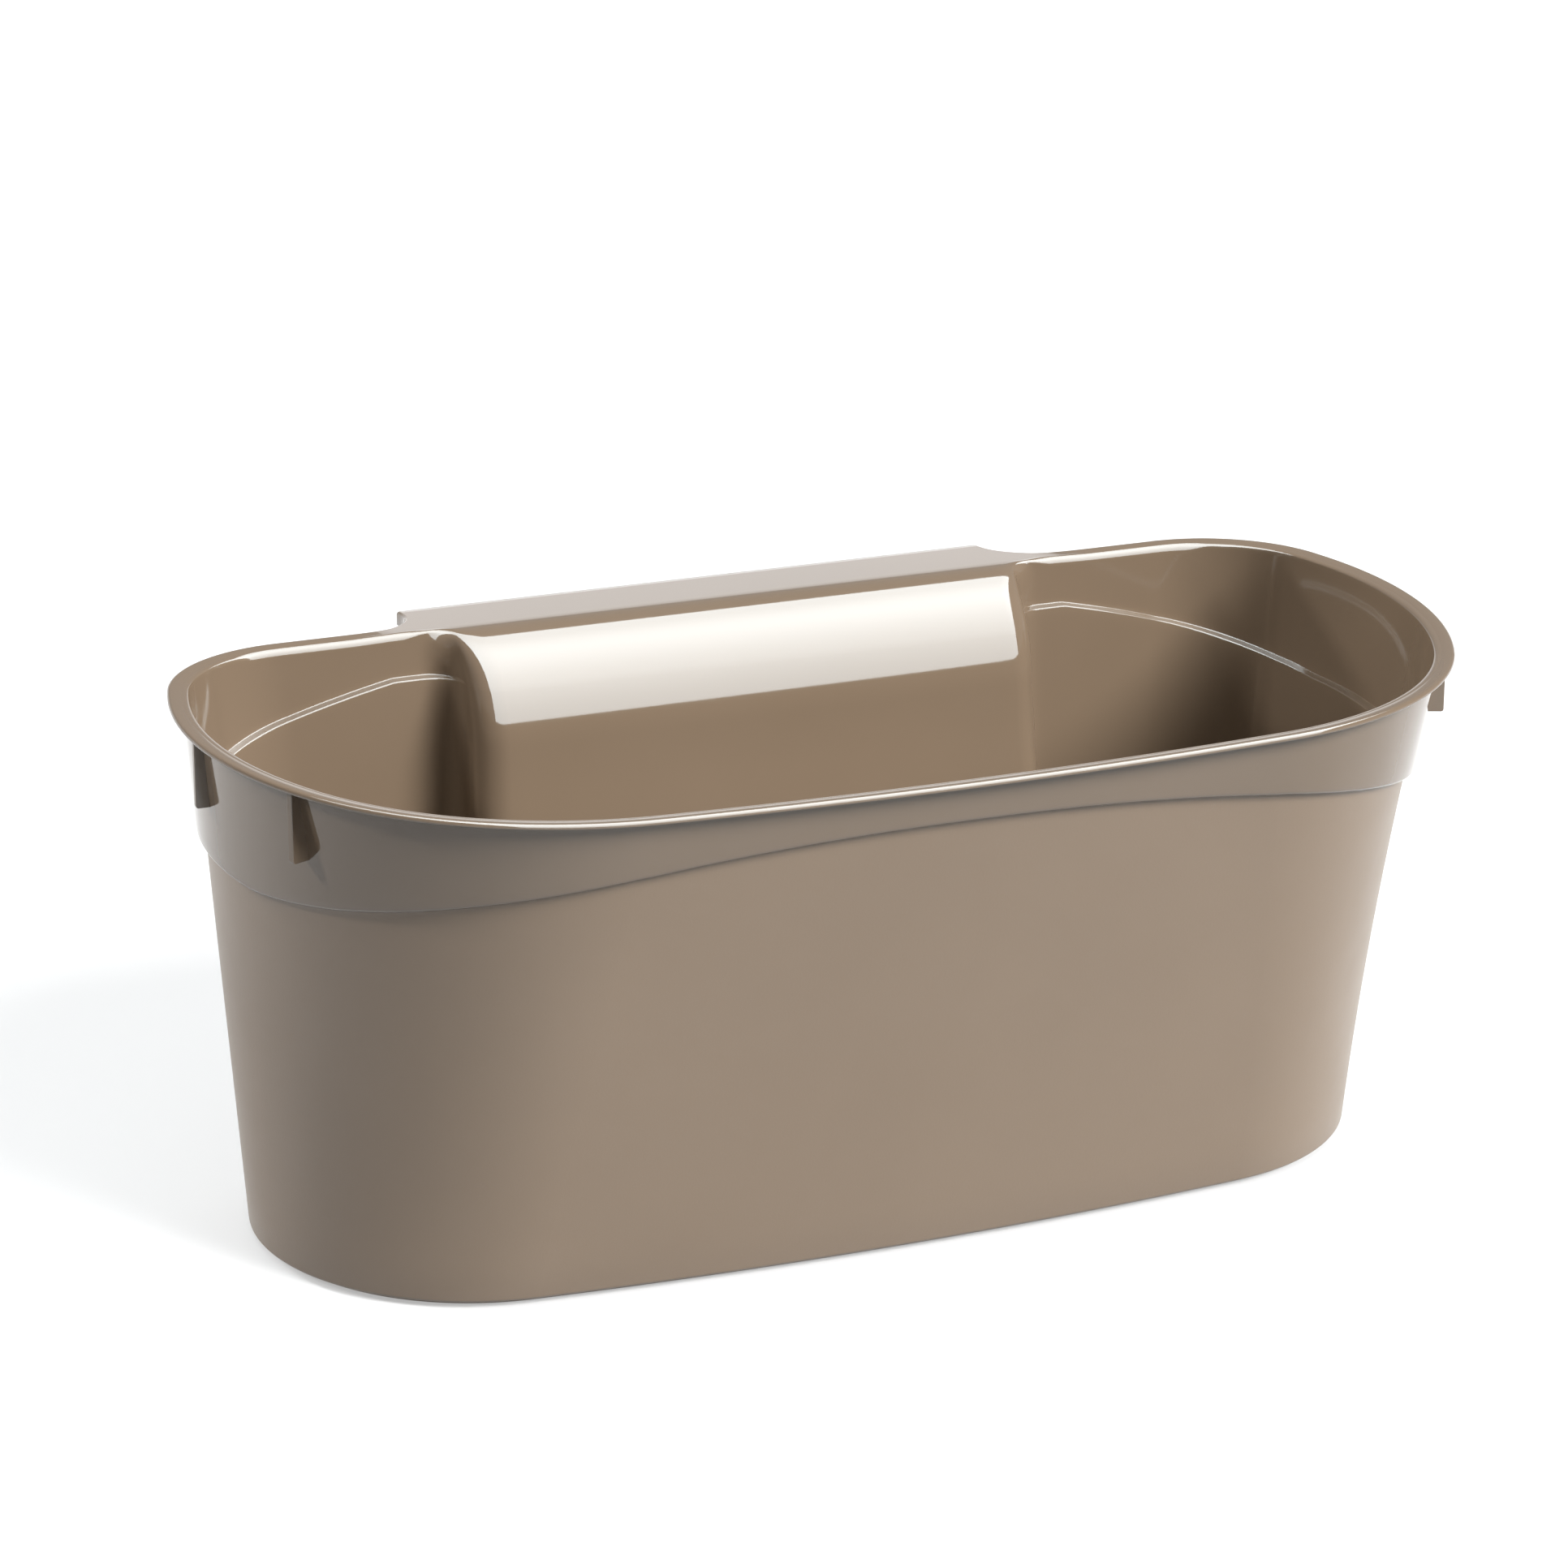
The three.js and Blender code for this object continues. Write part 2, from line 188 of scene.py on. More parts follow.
def arc_walk(arcs, heading):
    x = y = start = 0
    for radius, turn in arcs:
        end = min(start + turn, heading)
        if end <= start:
            break
        x += radius * (sin_deg(end) - sin_deg(start))
        y += radius * (cos_deg(end) - cos_deg(start))
        start += turn
    return x, y


class Outline:
    """A closed plan outline, read by the direction of its normal: 0 the back, 90 the end, 180 the front."""

    def __init__(self, arcs, length, back_y):
        self.straight = length / 2 - arc_walk(arcs, 90)[0]
        turned = sum(turn for _, turn in arcs)
        front_radius = (self.straight + arc_walk(arcs, turned)[0]) / sin_deg(turned)
        self.arcs = arcs + [(front_radius, 180 - turned)]
        self.back_y = back_y

    def at(self, heading):
        x, y = arc_walk(self.arcs, heading)
        return self.straight + x, self.back_y + y


rim_outline = Outline(RIM_ARCS, LENGTH, RIM_BACK_Y)
base_outline = Outline(BASE_ARCS, BASE_LENGTH, BASE_BACK_Y)


def waist(heading, k):
    """How far the wall draws in between base and rim, deepest at the front corners."""
    off = min(abs(heading - WAIST_HEADING) / WAIST_SPREAD, 1)
    return CORNER_WAIST * 4 * k * (1 - k) * cos_deg(90 * off) ** 2


def wall_plan(heading, z, inset):
    """A place on the ruled wall, moved towards the inside by inset."""
    k = z / HEIGHT
    inset += waist(heading, k)
    nx, ny = sin_deg(heading), cos_deg(heading)
    rim, base = rim_outline.at(heading), base_outline.at(heading)
    x = lerp(base[0], rim[0] - RIM_OVERHANG * nx, k) - inset * nx
    y = lerp(base[1], rim[1] - RIM_OVERHANG * ny, k) - inset * ny
    return x, y


def step_z(x, y):
    """Height of the band's lower edge: low at both ends, leaning slightly to the front and to one side."""
    reach = min(abs(x) / STEP_HALF_SPAN, 1)
    lean = STEP_LEAN_X * x + STEP_LEAN_Y * y
    return HEIGHT - STEP_MIDDLE_DROP - STEP_END_DROP * reach ** STEP_POWER + lean


STEP_BACK_Y = RIM_BACK_Y - RIM_OVERHANG
RECESS_STEP = step_z(RECESS_STEP_X, STEP_BACK_Y) - STEP_LEAN_X * RECESS_STEP_X

# ---------------------------------------------------------------- recess section

ROUND_DEPTH = CREST_Y - PANEL_Y
ROUND_RISE = HEIGHT - ROUND_START_Z


def panel_y(z):
    """The recess on the tub side: a drafted panel, then a quarter-round up to the crest."""
    if z <= ROUND_START_Z:
        return PANEL_Y - PANEL_DRAFT * (ROUND_START_Z - z)
    rise = min((z - ROUND_START_Z) / ROUND_RISE, 1)
    return CREST_Y - ROUND_DEPTH * math.sqrt(1 - rise * rise)


def round_offset(angle):
    """A point one wall thickness behind the quarter-round, as (y, z)."""
    y = CREST_Y - ROUND_DEPTH * cos_deg(angle)
    z = ROUND_START_Z + ROUND_RISE * sin_deg(angle)
    ny, nz = cos_deg(angle) / ROUND_DEPTH, sin_deg(angle) / ROUND_RISE
    size = math.hypot(ny, nz)
    return y + WALL * ny / size, z - WALL * nz / size


def panel_back_y(z):
    """The same recess on its open side."""
    if z <= ROUND_START_Z:
        return panel_y(z) + WALL
    low, high = 0, 90
    for _ in range(40):
        middle = (low + high) / 2
        if round_offset(middle)[1] < z:
            low = middle
        else:
            high = middle
    return round_offset(low)[0]


def recess_plan(column, z, wall_inset, front_y, thick):
    """Recess curve at one height: back wall, S-shaped cheek, then panel. thick is 0 on the tub side."""
    wall_x, back_y = wall_plan(0, z, wall_inset)
    r1, r2 = PANEL_CORNER - thick, CHEEK_CORNER + thick
    depth = max(back_y - front_y, 0.02)
    turn = math.acos(max(1 - depth / (r1 + r2), 0))
    cheek = max(depth - r1 - r2, 0)
    cheek_x = RECESS_HALF_WIDTH + CHEEK_DRAFT * max(ROUND_START_Z - z, 0) - thick
    reach = math.sin(turn)
    if column.part == "panel":
        return column.u * (cheek_x - r1 * reach), front_y
    if column.part == "back":
        return lerp(cheek_x + r2 * reach, wall_x, column.u), back_y
    along = column.u * (r1 * turn + cheek + r2 * turn)
    if along < r1 * turn:
        a = along / r1
        return cheek_x - r1 * (reach - math.sin(a)), front_y + r1 * (1 - math.cos(a))
    if along < r1 * turn + cheek:
        return cheek_x, front_y + r1 * (1 - math.cos(turn)) + along - r1 * turn
    a = (r1 * turn + cheek + r2 * turn - along) / r2
    return cheek_x + r2 * (reach - math.sin(a)), back_y - r2 * (1 - math.cos(a))


# ---------------------------------------------------------------- columns

class Column:
    """One place round the tub. part is wall, back, cheek or panel.

    A wall is placed by the direction of its normal, heading. On the others u runs outward from 0 to 1.
    """

    def __init__(self, part, side, heading=0, u=0):
        self.part, self.side, self.heading, self.u = part, side, heading, u
        if part == "wall":
            x, y = wall_plan(heading, HEIGHT, 0)
            self.step = step_z(side * x, y)
        elif part == "back":
            k = (u - RECESS_STEP_SHARE) / (1 - RECESS_STEP_SHARE)
            x = lerp(RECESS_STEP_X, rim_outline.straight, k)
            self.step = step_z(side * max(x, RECESS_STEP_X), STEP_BACK_Y)
        else:
            across = 1 if part == "cheek" else u
            self.step = RECESS_STEP + STEP_LEAN_X * side * RECESS_STEP_X * across


def half_columns(side):
    """Columns from the middle of the back to the middle of the front."""
    columns = [Column("panel", side, u=u) for u in steps(22)]
    columns += [Column("cheek", side, u=u) for u in steps(22, 1)]
    columns += [Column("back", side, u=u) for u in steps(24, 1)]
    columns += [Column("wall", side, heading=BOW_START * k) for k in steps(87, 1)]
    columns += [Column("wall", side, heading=lerp(BOW_START, 180, k)) for k in steps(24, 1)]
    return columns


def all_columns():
    right, left = half_columns(1), half_columns(-1)
    return right + left[-2:0:-1]


# ---------------------------------------------------------------- rows

def tub_side(column, z, wall_inset, grow=0):
    """A point on the side that faces the contents. grow moves it further in, for the floor fillet."""
    if column.part == "wall":
        return (*wall_plan(column.heading, z, wall_inset), z)
    return (*recess_plan(column, z, wall_inset, panel_y(z) - grow, -grow), z)


def open_side(column, z, wall_inset, grow=0):
    """A point on the side that faces away from the contents."""
    if column.part == "wall":
        return (*wall_plan(column.heading, z, wall_inset), z)
    return (*recess_plan(column, z, wall_inset, panel_back_y(z) - grow, WALL - grow), z)


def flange_share(x):
    """0 on the rim, 1 on the handle flange."""
    fillet_end = HANDLE_HALF_LENGTH + HANDLE_FILLET
    return smooth((fillet_end - x) / (FLANGE_BLEND * HANDLE_FILLET))


def top_z(column, x, y):
    if column.part == "wall":
        return HEIGHT
    past = y - SLOPE_START_Y
    if past < -SLOPE_BLEND:
        drop = 0
    elif past < SLOPE_BLEND:
        drop = (past + SLOPE_BLEND) ** 2 / (4 * SLOPE_BLEND)
    else:
        drop = past
    return HEIGHT - HANDLE_SLOPE * drop * flange_share(x)


def crown_drop(column, across, x):
    """How far the crowned rim top falls: across is 0 at its inner edge and 1 at the outer edge."""
    share = 1 if column.part == "wall" else 1 - flange_share(x)
    return RIM_CROWN * share * (1 - across) ** 2


def edge_plan(column, inset):
    """The outer edge of the rim or handle: rim line, concave fillet, side, rounded corner, back edge."""
    if column.part == "wall":
        return wall_plan(column.heading, HEIGHT - RIM_EDGE, inset - RIM_OVERHANG)
    corner_x = HANDLE_HALF_LENGTH - HANDLE_CORNER
    if column.part == "panel":
        return column.u * BACK_EDGE_SHARE * corner_x, HANDLE_BACK_Y - inset
    fillet_x = HANDLE_HALF_LENGTH + HANDLE_FILLET
    fillet_y = RIM_BACK_Y + HANDLE_FILLET
    corner_y = HANDLE_BACK_Y - HANDLE_CORNER
    back_edge = (1 - BACK_EDGE_SHARE) * corner_x
    corner = HANDLE_CORNER * math.pi / 2
    side_edge = corner_y - fillet_y
    if column.part == "cheek":
        along = column.u * (back_edge + corner + side_edge)
        if along < back_edge:
            return BACK_EDGE_SHARE * corner_x + along, HANDLE_BACK_Y - inset
        if along < back_edge + corner:
            a = (along - back_edge) / HANDLE_CORNER
            reach = HANDLE_CORNER - inset
            return corner_x + reach * math.sin(a), corner_y + reach * math.cos(a)
        return HANDLE_HALF_LENGTH - inset, corner_y - (along - back_edge - corner)
    fillet = HANDLE_FILLET * math.pi / 2
    along = column.u * (fillet + rim_outline.straight - fillet_x)
    if along < fillet:
        a = along / HANDLE_FILLET
        reach = HANDLE_FILLET + inset
        return fillet_x - reach * math.cos(a), fillet_y - reach * math.sin(a)
    return fillet_x + along - fillet, RIM_BACK_Y - inset


def edge_share(column):
    """flange_share at the outer edge of this column."""
    return flange_share(edge_plan(column, 0)[0]) if column.part != "wall" else 0


def edge_side(column, inset, drop):
    x, y = edge_plan(column, inset)
    edge = edge_plan(column, 0) if drop > 0 else (x, y)
    return x, y, top_z(column, *edge) - drop


def between(column, start, end, k, thickness):
    x, y = lerp(start[0], end[0], k), lerp(start[1], end[1], k)
    return x, y, top_z(column, x, y) - thickness


def rise_angle(z):
    return math.asin(max(min((z - ROUND_START_Z) / ROUND_RISE, 1), -1))


def climb(low, high, k):
    """A height between low and high, spaced so that the quarter-round is cut into even pieces."""
    a = lerp(rise_angle(low), rise_angle(high), k)
    return ROUND_START_Z + ROUND_RISE * math.sin(a)


def crease_z(low, high, recess_high):
    """Where the recess turns from panel to quarter-round, or the same share of the way up a wall."""
    return lerp(low, high, (ROUND_START_Z - low) / (recess_high - low))


def inner_edge(column):
    """Reach and drop of the rounding inside the rim: generous along the straight back, tight elsewhere."""
    along_wall = (column.heading - GENEROUS_TO) / GENEROUS_FADE
    share = {"wall": 1 - along_wall, "back": column.u / GENEROUS_FROM}.get(column.part, 0)
    drop = lerp(RIM_TIGHT_EDGE, RIM_INNER_DROP, smooth(share))
    if column.part == "wall":
        return RIM_INNER_REACH, drop
    return lerp(RIM_TIGHT_EDGE, RIM_INNER_REACH, smooth(share)), drop


def tub_rows(column):
    """From the floor up to the inner edge of the rim or the crest of the handle."""
    points = []
    for k in steps(8):
        a = 90 * k
        grow = FLOOR_FILLET * (1 - sin_deg(a))
        z = FLOOR_TOP + FLOOR_FILLET * (1 - cos_deg(a))
        points.append(tub_side(column, z, WALL + grow, grow))
    low = FLOOR_TOP + FLOOR_FILLET
    ledge = column.step + LEDGE_RISE
    crease = crease_z(low, ledge - LEDGE_CONVEX, RECESS_STEP + LEDGE_RISE - LEDGE_CONVEX)
    points += [tub_side(column, lerp(low, crease, k), WALL) for k in steps(10, 1)]
    points += [tub_side(column, lerp(crease, ledge - LEDGE_CONVEX, k), WALL) for k in steps(6, 1)]
    outer = WALL - BAND_PROUD
    turn = 90 - LEDGE_TILT
    for k in steps(5, 1):
        a = turn * k
        z = ledge - LEDGE_CONVEX * (1 - sin_deg(a))
        points.append(tub_side(column, z, WALL - LEDGE_CONVEX * (1 - cos_deg(a))))
    for k in steps(5):
        a = turn * (1 - k)
        z = ledge + LEDGE_SLOPE + LEDGE_CONCAVE * (1 - sin_deg(a))
        points.append(tub_side(column, z, outer + LEDGE_CONCAVE * (1 - cos_deg(a))))
    reach, drop = inner_edge(column)
    edge_x = tub_side(column, HEIGHT, outer - reach)[0]
    top = HEIGHT - crown_drop(column, 0, edge_x)
    high = top - drop
    above = ledge + LEDGE_SLOPE + LEDGE_CONCAVE
    points += [tub_side(column, climb(above, high, k), outer) for k in steps(12, 1)]
    for k in steps(9, 1):
        z = top - drop * (1 - sin_deg(90 * k))
        points.append(tub_side(column, z, outer - reach * (1 - cos_deg(90 * k))))
    return points


def top_rows(column, inner):
    """Across the rim or the handle, round its outer edge and down the lip."""
    flat_end = edge_plan(column, RIM_EDGE)
    points = []
    for k in steps(14, 1):
        across = k ** TOP_CROWDING
        x, y, z = between(column, inner, flat_end, across, 0)
        points.append((x, y, z - crown_drop(column, across, x)))
    for k in steps(4, 1):
        inset = RIM_EDGE * (1 - sin_deg(90 * k))
        points.append(edge_side(column, inset, RIM_EDGE * (1 - cos_deg(90 * k))))
    lip = lerp(RIM_DEPTH, HANDLE_LIP, edge_share(column))
    for k in steps(3):
        inset = LIP_EDGE * (1 - cos_deg(90 * k))
        points.append(edge_side(column, inset, lip - LIP_EDGE * (1 - sin_deg(90 * k))))
    return points


def under_rows(column):
    """Under the lip and the flange, in to the open side of the wall."""
    share = edge_share(column)
    thickness = lerp(RIM_DEPTH, WALL, share)
    lip = lerp(RIM_DEPTH, HANDLE_LIP, share)
    wall_z = HEIGHT - thickness
    wall = open_side(column, wall_z, -BAND_PROUD)
    inner_lip = lerp(LIP_EDGE + LIP_LAND, WALL, share)
    points = [edge_side(column, inner_lip - LIP_INNER_EDGE, lip)]
    for up in LIP_INNER_RISE:
        points.append(edge_side(column, inner_lip, lerp(lip, thickness, up)))
    start = edge_plan(column, inner_lip + LIP_ROOT)
    gap = math.dist(start, wall[:2])
    end = [lerp(wall[i], start[i], UNDER_FILLET / gap) for i in range(2)]
    points += [between(column, start, end, k, thickness) for k in steps(8)]
    for k in steps(4, 1):
        back = UNDER_FILLET * (1 - sin_deg(90 * k))
        z = wall_z - UNDER_FILLET * (1 - cos_deg(90 * k))
        points.append(open_side(column, z, -BAND_PROUD - back))
    return points, wall_z - UNDER_FILLET


def outer_rows(column, high):
    """Down the band, round its lower edge and down the body."""
    step = column.step
    points = []
    for k in steps(BAND_ROWS, 1):
        points.append(open_side(column, climb(high, step + BAND_EDGE, k), -BAND_PROUD))
    for k in steps(BAND_EDGE_ROWS, 1):
        a = 90 * k
        inset = BAND_EDGE * (1 - cos_deg(a)) - BAND_PROUD
        points.append(open_side(column, step + BAND_EDGE * (1 - sin_deg(a)), inset))
    for k in steps(3, 1):
        a = 90 * k
        z = step - BAND_NOTCH * (1 - cos_deg(a))
        points.append(open_side(column, z, -BAND_NOTCH * (1 - sin_deg(a))))
    top = step - BAND_NOTCH
    low = FOOT_HEIGHT + BASE_EDGE
    crease = crease_z(low, top, RECESS_STEP - BAND_NOTCH)
    points += [open_side(column, lerp(top, crease, k), 0) for k in steps(5, 1)]
    points += [open_side(column, lerp(crease, low, k), 0) for k in steps(10, 1)]
    return points


def foot_rows(column):
    """Round the bottom edge, then down and up again over the foot ring."""
    points = []
    for k in steps(5, 1):
        inset = BASE_EDGE * (1 - cos_deg(90 * k))
        z = FOOT_HEIGHT + BASE_EDGE * (1 - sin_deg(90 * k))
        points.append(open_side(column, z, inset, inset))
    foot = [*zip(FOOT_OUTER_INSETS, FOOT_SHARES), *zip(FOOT_INNER_INSETS, FOOT_SHARES[::-1])]
    points += [open_side(column, share * FOOT_HEIGHT, inset, inset) for inset, share in foot]
    return points


def section(column):
    tub = tub_rows(column)
    top = top_rows(column, tub[-1])
    under, high = under_rows(column)
    outer = outer_rows(column, high)
    foot = foot_rows(column)
    satin_from = len(tub) + len(top) + len(under) + BAND_ROWS + BAND_EDGE_ROWS
    return tub + top + under + outer + foot, satin_from


# ---------------------------------------------------------------- meshes

def finish_mesh(bm, name, materials):
    bmesh.ops.recalc_face_normals(bm, faces=bm.faces)
    for face in bm.faces:
        face.smooth = True
    mesh = bpy.data.meshes.new(name)
    bm.to_mesh(mesh)
    bm.free()
    piece = bpy.data.objects.new(name, mesh)
    bpy.context.scene.collection.objects.link(piece)
    for material in materials:
        mesh.materials.append(material)
    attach(piece, "root")
    return piece


def build_tub(gloss, satin):
    bm = bmesh.new()
    columns = all_columns()
    grid = []
    for column in columns:
        points, satin_from = section(column)
        grid.append([bm.verts.new((column.side * x * MM, y * MM, z * MM)) for x, y, z in points])
    count, rows = len(grid), len(grid[0])
    for c in range(count):
        here, following = grid[c], grid[(c + 1) % count]
        for r in range(rows - 1):
            face = bm.faces.new((here[r], following[r], following[r + 1], here[r + 1]))
            face.material_index = int(r >= satin_from)
    bm.faces.new([column[0] for column in grid])
    bm.faces.new([column[-1] for column in grid]).material_index = 1
    return finish_mesh(bm, "caddy_tub", [gloss, satin])


def build_rib(side, place, heading, material):
    """A thin upright fin under the rim, with softened edges."""
    nx, ny = side * sin_deg(heading), cos_deg(heading)
    rim = rim_outline.at(heading)
    edge = (side * rim[0] - RIB_SETBACK * nx, rim[1] - RIB_SETBACK * ny)

    def reach(z):
        x, y = wall_plan(heading, z, RIB_ROOT - BAND_PROUD)
        return (side * x - edge[0]) * nx + (y - edge[1]) * ny

    top = HEIGHT - RIM_DEPTH + RIB_ROOT
    outline = [(reach(top), top), (0, top), (0, RIB_BOTTOM_Z + RIB_CORNER)]
    for k in steps(3, 1):
        z = RIB_BOTTOM_Z + RIB_CORNER * (1 - sin_deg(90 * k))
        outline.append((-RIB_CORNER * (1 - cos_deg(90 * k)), z))
    outline.append((reach(RIB_BOTTOM_Z), RIB_BOTTOM_Z))
    bm = bmesh.new()
    sheets = []
    for across in (-RIB_THICKNESS / 2, RIB_THICKNESS / 2):
        sheet = []
        for out, z in outline:
            x = edge[0] + out * nx - across * ny
            y = edge[1] + out * ny + across * nx
            sheet.append(bm.verts.new((x * MM, y * MM, z * MM)))
        sheets.append(sheet)
    bm.faces.new(sheets[0])
    bm.faces.new(sheets[1][::-1])
    for i in range(len(outline)):
        j = (i + 1) % len(outline)
        bm.faces.new((sheets[0][j], sheets[0][i], sheets[1][i], sheets[1][j]))
    name = f"rib_{'right' if side > 0 else 'left'}_{place}"
    rib = finish_mesh(bm, name, [material])
    for face in rib.data.polygons:
        face.use_smooth = False
    bevel = rib.modifiers.new("edges", "BEVEL")
    bevel.width = RIB_EDGE * MM
    bevel.segments = 3
    bevel.harden_normals = False
    return rib


# ---------------------------------------------------------------- materials

# Noise scales per metre, and where the colour flow counts as dark or light
FLOW_SCALE = 9
FLOW_DARK = 0.35
FLOW_LIGHT = 0.65
GLOSS_SCALE = 45


def noise(nodes, links, vector, scale, detail=3):
    node = nodes.new("ShaderNodeTexNoise")
    node.inputs["Scale"].default_value = scale
    node.inputs["Detail"].default_value = detail
    links.new(vector, node.inputs["Vector"])
    return node.outputs["Fac"]


def ranged(nodes, links, value, low, high):
    node = nodes.new("ShaderNodeMapRange")
    node.inputs["To Min"].default_value = low
    node.inputs["To Max"].default_value = high
    links.new(value, node.inputs["Value"])
    return node.outputs["Result"]


def plastic(name, light, dark, roughness, grain_scale, grain_height):
    """Moulded plastic: faint colour flow, uneven gloss and a fine surface texture."""
    material = bpy.data.materials.new(name)
    material.use_nodes = True
    nodes, links = material.node_tree.nodes, material.node_tree.links
    shader = nodes["Principled BSDF"]
    place = nodes.new("ShaderNodeTexCoord").outputs["Object"]
    flow = noise(nodes, links, place, FLOW_SCALE, 4)
    ramp = nodes.new("ShaderNodeValToRGB")
    ramp.color_ramp.elements[0].position = FLOW_DARK
    ramp.color_ramp.elements[0].color = (*dark, 1)
    ramp.color_ramp.elements[1].position = FLOW_LIGHT
    ramp.color_ramp.elements[1].color = (*light, 1)
    links.new(flow, ramp.inputs["Fac"])
    links.new(ramp.outputs["Color"], shader.inputs["Base Color"])
    gloss = ranged(nodes, links, noise(nodes, links, place, GLOSS_SCALE), *roughness)
    links.new(gloss, shader.inputs["Roughness"])
    grain = noise(nodes, links, place, grain_scale, 2)
    bump = nodes.new("ShaderNodeBump")
    bump.inputs["Strength"].default_value = 1
    bump.inputs["Distance"].default_value = grain_height * MM
    links.new(grain, bump.inputs["Height"])
    links.new(bump.outputs["Normal"], shader.inputs["Normal"])
    shader.inputs["IOR"].default_value = 1.5
    return material


# The glossy taupe is the same plastic as the satin taupe, only scaled about a fifth darker: painted shade
# on the inside, rim, handle, band and ribs.
gloss_plastic_painted_shade = plastic(
    "gloss_taupe_painted_shade", light=(0.135, 0.098, 0.067), dark=(0.127, 0.092, 0.062),
    roughness=(0.05, 0.09), grain_scale=900, grain_height=0.002)
satin_plastic = plastic(
    "satin_taupe", light=(0.165, 0.120, 0.082), dark=(0.155, 0.112, 0.076),
    roughness=(0.32, 0.40), grain_scale=1400, grain_height=0.02)

# ---------------------------------------------------------------- object

tub = build_tub(gloss_plastic_painted_shade, satin_plastic)
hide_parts("floor_pan", "body_wall", "upper_band", "rim_lip", "grip_recess", "grip_handle")
for place, heading in RIB_DIRECTIONS.items():
    for side, word in ((1, "right"), (-1, "left")):
        rib = build_rib(side, place, heading, gloss_plastic_painted_shade)
        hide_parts(f"stacking_rib_{word}_{place}")

# ---------------------------------------------------------------- stage, lights and camera

FLOOR_HALF_SIZE = 6
CANOPY_CENTRE = (0.055, 0.15)
CAMERA_TARGET = Vector((-5.7, 24.9, 124.7)) * MM
CAMERA_DISTANCE = 1.5642


def white(name, value, glow):
    """A matt white that glows a little, so that shadows on it stay pale."""
    material = bpy.data.materials.new(name)
    material.use_nodes = True
    shader = material.node_tree.nodes["Principled BSDF"]
    shader.inputs["Base Color"].default_value = (value, value, value, 1)
    shader.inputs["Roughness"].default_value = 0.6
    shader.inputs["Emission Color"].default_value = (1, 1, 1, 1)
    shader.inputs["Emission Strength"].default_value = glow
    return material


def build_floor():
    """A pale table. The world's light from below replaces what it would throw back on the tub."""
    bm = bmesh.new()
    bmesh.ops.create_grid(bm, x_segments=1, y_segments=1, size=FLOOR_HALF_SIZE)
    mesh = bpy.data.meshes.new("floor")
    bm.to_mesh(mesh)
    bm.free()
    mesh.materials.append(white("floor_white", 0.36, 0.4))
    floor = bpy.data.objects.new("floor", mesh)
    bpy.context.scene.collection.objects.link(floor)
    floor.visible_diffuse = False


def sun(name, azimuth, elevation, spread, strength):
    """Broad soft daylight from one side. It lights surfaces but makes no mirror highlight of its own."""
    light = bpy.data.lights.new(name, "SUN")
    light.energy = strength
    light.angle = math.radians(spread)
    lamp = bpy.data.objects.new(name, light)
    level = cos_deg(elevation)
    towards = Vector((sin_deg(azimuth) * level, -cos_deg(azimuth) * level, sin_deg(elevation)))
    lamp.rotation_euler = towards.to_track_quat("Z", "Y").to_euler()
    lamp.visible_glossy = False
    bpy.context.scene.collection.objects.link(lamp)


def sky_panel(name, rows, radiance, tint):
    """A glowing studio panel that shows only in reflections.

    rows are (left x, right x, y, z) in metres; radiance is (share of the way down the rows, brightness).
    """
    bm = bmesh.new()
    way = bm.verts.layers.float.new("way")
    sheet = []
    for i, (left, right, y, z) in enumerate(rows):
        line = [bm.verts.new((lerp(left, right, k), y, z)) for k in steps(4)]
        for vert in line:
            vert[way] = i / (len(rows) - 1)
        sheet.append(line)
    for low, high in zip(sheet, sheet[1:]):
        for i in range(4):
            bm.faces.new((low[i], low[i + 1], high[i + 1], high[i]))
    mesh = bpy.data.meshes.new(name)
    bm.to_mesh(mesh)
    bm.free()
    material = bpy.data.materials.new(name)
    material.use_nodes = True
    nodes, links = material.node_tree.nodes, material.node_tree.links
    nodes.clear()
    down = nodes.new("ShaderNodeAttribute")
    down.attribute_name = "way"
    ramp = nodes.new("ShaderNodeValToRGB")
    ramp.color_ramp.interpolation = "EASE"
    brightest = max(value for _, value in radiance)
    while len(ramp.color_ramp.elements) < len(radiance):
        ramp.color_ramp.elements.new(0.5)
    for stop, (place, value) in zip(ramp.color_ramp.elements, radiance):
        stop.position = place
        stop.color = (*[value / brightest * channel for channel in tint], 1)
    links.new(down.outputs["Fac"], ramp.inputs["Fac"])
    glow = nodes.new("ShaderNodeEmission")
    glow.inputs["Strength"].default_value = brightest
    links.new(ramp.outputs["Color"], glow.inputs["Color"])
    output = nodes.new("ShaderNodeOutputMaterial")
    links.new(glow.outputs["Emission"], output.inputs["Surface"])
    mesh.materials.append(material)
    panel = bpy.data.objects.new(name, mesh)
    bpy.context.scene.collection.objects.link(panel)
    panel.visible_camera = False
    panel.visible_diffuse = False
    panel.visible_shadow = False


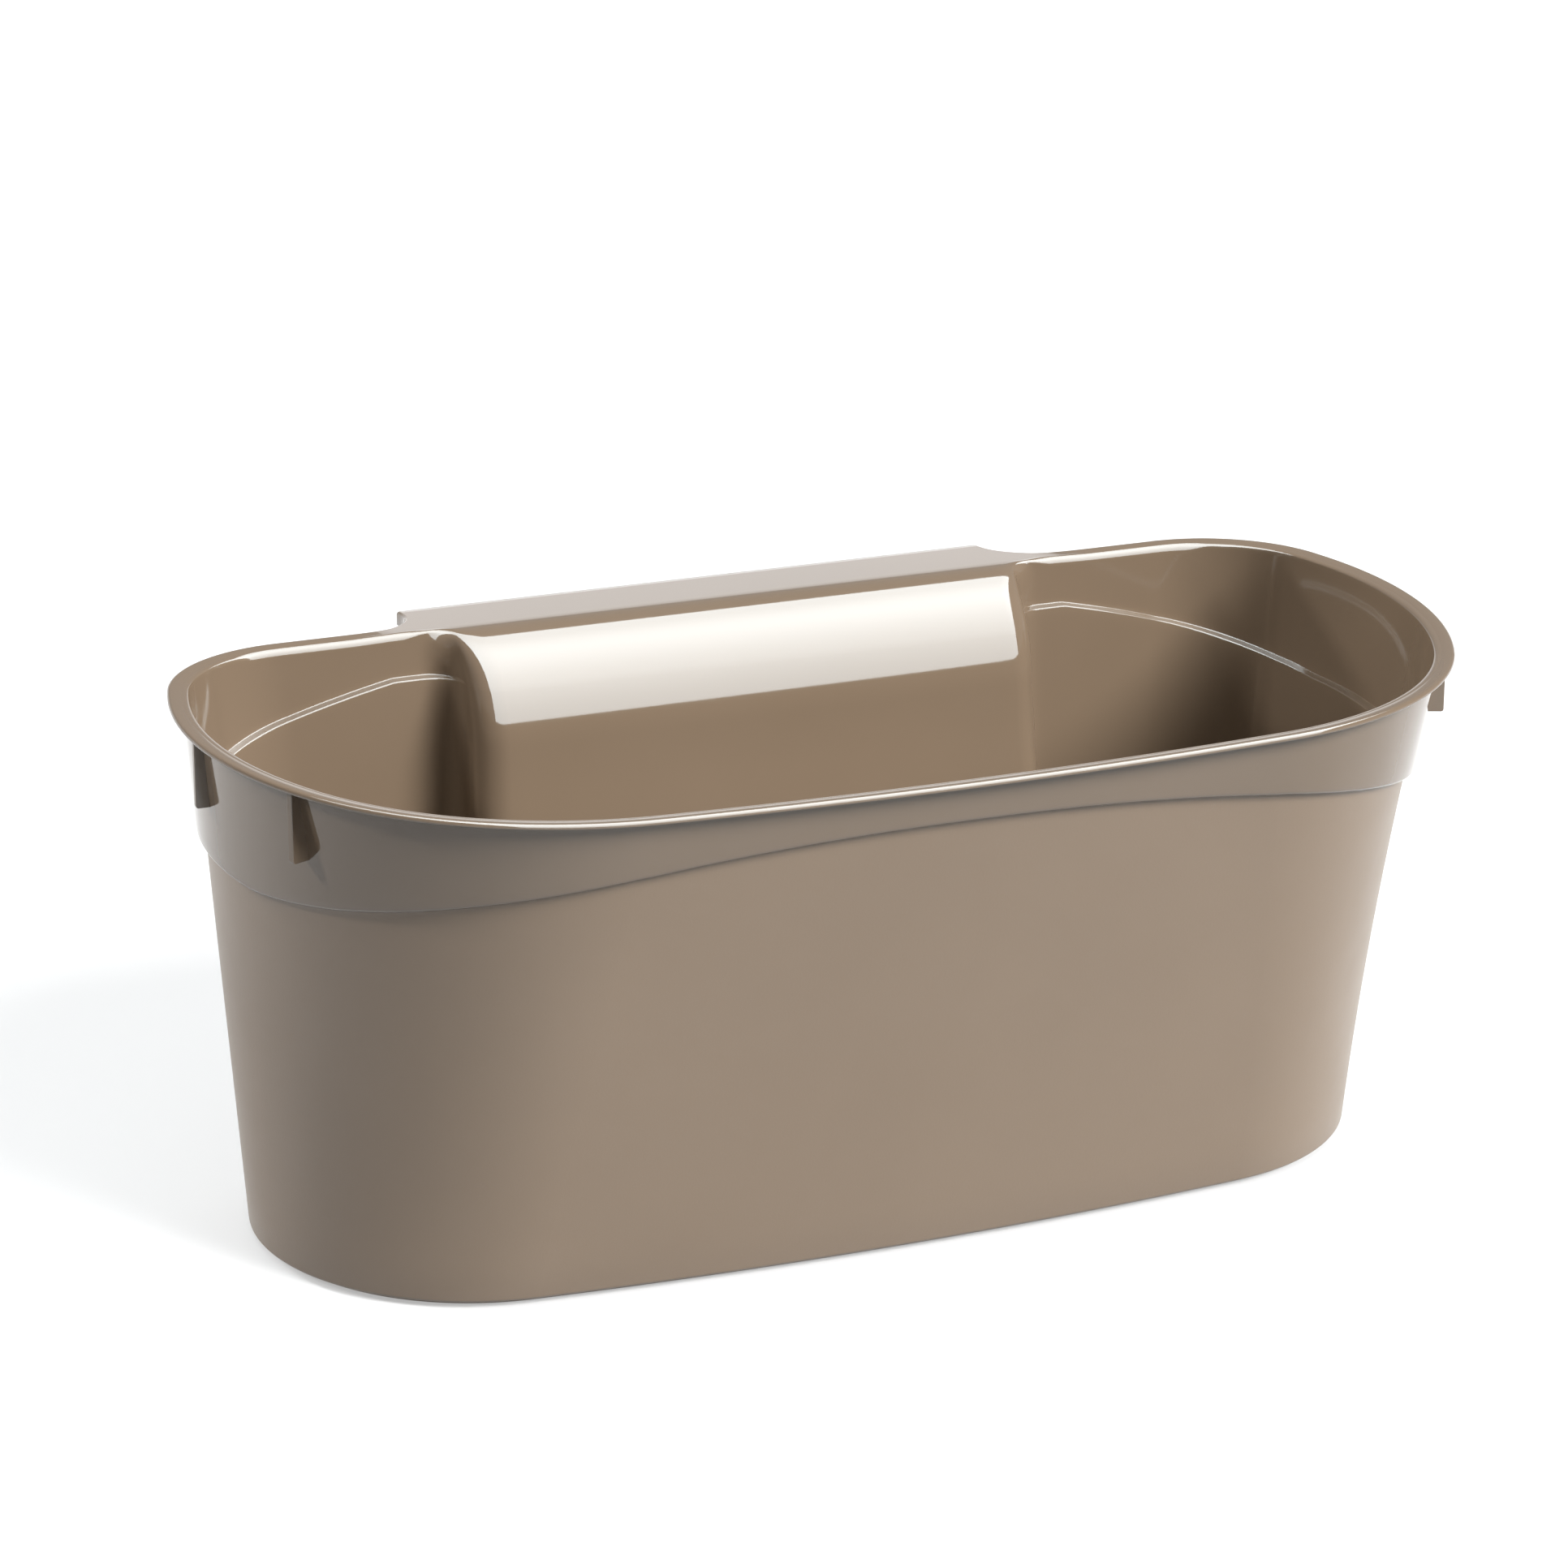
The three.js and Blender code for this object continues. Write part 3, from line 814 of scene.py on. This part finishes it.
def canopy_rows(first_tilt, last_tilt, radius, left, right):
    """Rows of a curved canopy over the tub, tilt measured from overhead towards the front, in degrees."""
    rows = []
    for k in steps(24):
        tilt = lerp(first_tilt, last_tilt, k)
        y = CANOPY_CENTRE[0] - radius * sin_deg(tilt)
        rows.append((left, right, y, CANOPY_CENTRE[1] + radius * cos_deg(tilt)))
    return rows


def build_camera():
    azimuth, elevation = math.radians(-22.28), math.radians(18.84)
    level = math.cos(elevation)
    back = Vector((math.sin(azimuth) * level, -math.cos(azimuth) * level, math.sin(elevation)))
    data = bpy.data.cameras.new("camera")
    data.lens = 115.6
    data.sensor_width = 36
    camera = bpy.data.objects.new("camera", data)
    camera.location = CAMERA_TARGET + back * CAMERA_DISTANCE
    camera.rotation_euler = back.to_track_quat("Z", "Y").to_euler()
    bpy.context.scene.collection.objects.link(camera)
    bpy.context.scene.camera = camera


def build_world(below, above):
    """Even room light. The part from below stands in for the light the floor sends back."""
    world = bpy.data.worlds.new("studio")
    world.use_nodes = True
    nodes, links = world.node_tree.nodes, world.node_tree.links
    split = nodes.new("ShaderNodeSeparateXYZ")
    links.new(nodes.new("ShaderNodeTexCoord").outputs["Generated"], split.inputs["Vector"])
    level = nodes.new("ShaderNodeMapRange")
    for socket, value in (("From Min", -0.1), ("From Max", 0.1), ("To Min", below), ("To Max", above)):
        level.inputs[socket].default_value = value
    links.new(split.outputs["Z"], level.inputs["Value"])
    background = nodes["Background"]
    background.inputs["Color"].default_value = (1, 1, 1, 1)
    links.new(level.outputs["Result"], background.inputs["Strength"])
    bpy.context.scene.world = world


build_floor()
build_world(below=0.34, above=0.38)
canopy_light = ((0, 10.5), (0.36, 18), (1, 10.5))
canopy = canopy_rows(first_tilt=-32, last_tilt=85, radius=1.3, left=-0.9, right=1.3)
sky_panel("canopy", canopy, canopy_light, tint=(0.89, 0.97, 1))
back_wall = [(-3, 3, 2.6, 0.7), (-3, 3, 2.6, 0.0)]
sky_panel("back_glow", back_wall, ((0, 1.0), (1, 1.3)), tint=(1, 1, 1))
sun("key_right", azimuth=33, elevation=34, spread=24, strength=7.8)
sun("fill_left", azimuth=-106, elevation=36, spread=9, strength=1.6)
sun("edge_left", azimuth=-150, elevation=24, spread=9, strength=2.4)
build_camera()
bpy.context.scene.view_settings.view_transform = "Standard"
